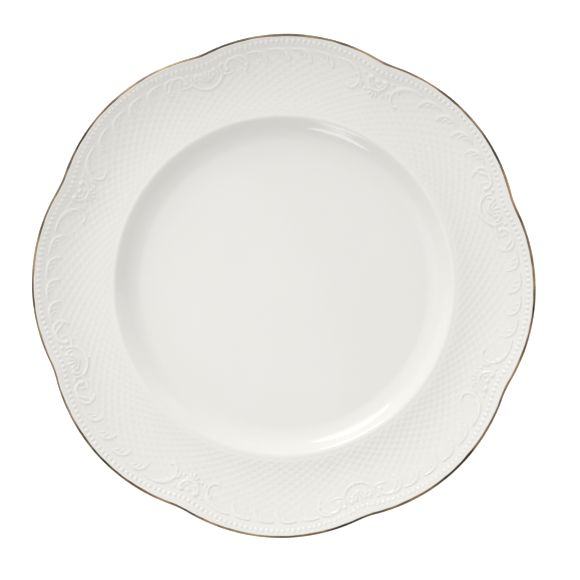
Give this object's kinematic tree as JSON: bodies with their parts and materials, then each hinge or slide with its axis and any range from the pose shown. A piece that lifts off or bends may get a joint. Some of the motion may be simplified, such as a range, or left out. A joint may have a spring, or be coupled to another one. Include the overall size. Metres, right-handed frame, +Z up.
{
  "type": "dinner plate",
  "caption": "Round china dinner plate with a lobed, gently rising rim pressed with beads, scrolls and a lattice, a flat well, a foot ring and a gold-lined lip.",
  "frame": {"origin": "middle of the plane that the foot ring stands on", "axes": "+Z up, out of the well; +X through the crown of a lobe"},
  "size_m": [0.27, 0.27, 0.0228],
  "materials": {
    "clay": "unglazed fired porcelain, matt",
    "glaze": "clear gloss glaze over warm white porcelain",
    "gilding": "burnished gold, fired on"
  },
  "bodies": {
    "root": {"porcelain_body": "clay", "glaze_coat": "glaze", "recess_glaze": "glaze", "gold_rim_line": "gilding"}
  },
  "joints": []
}
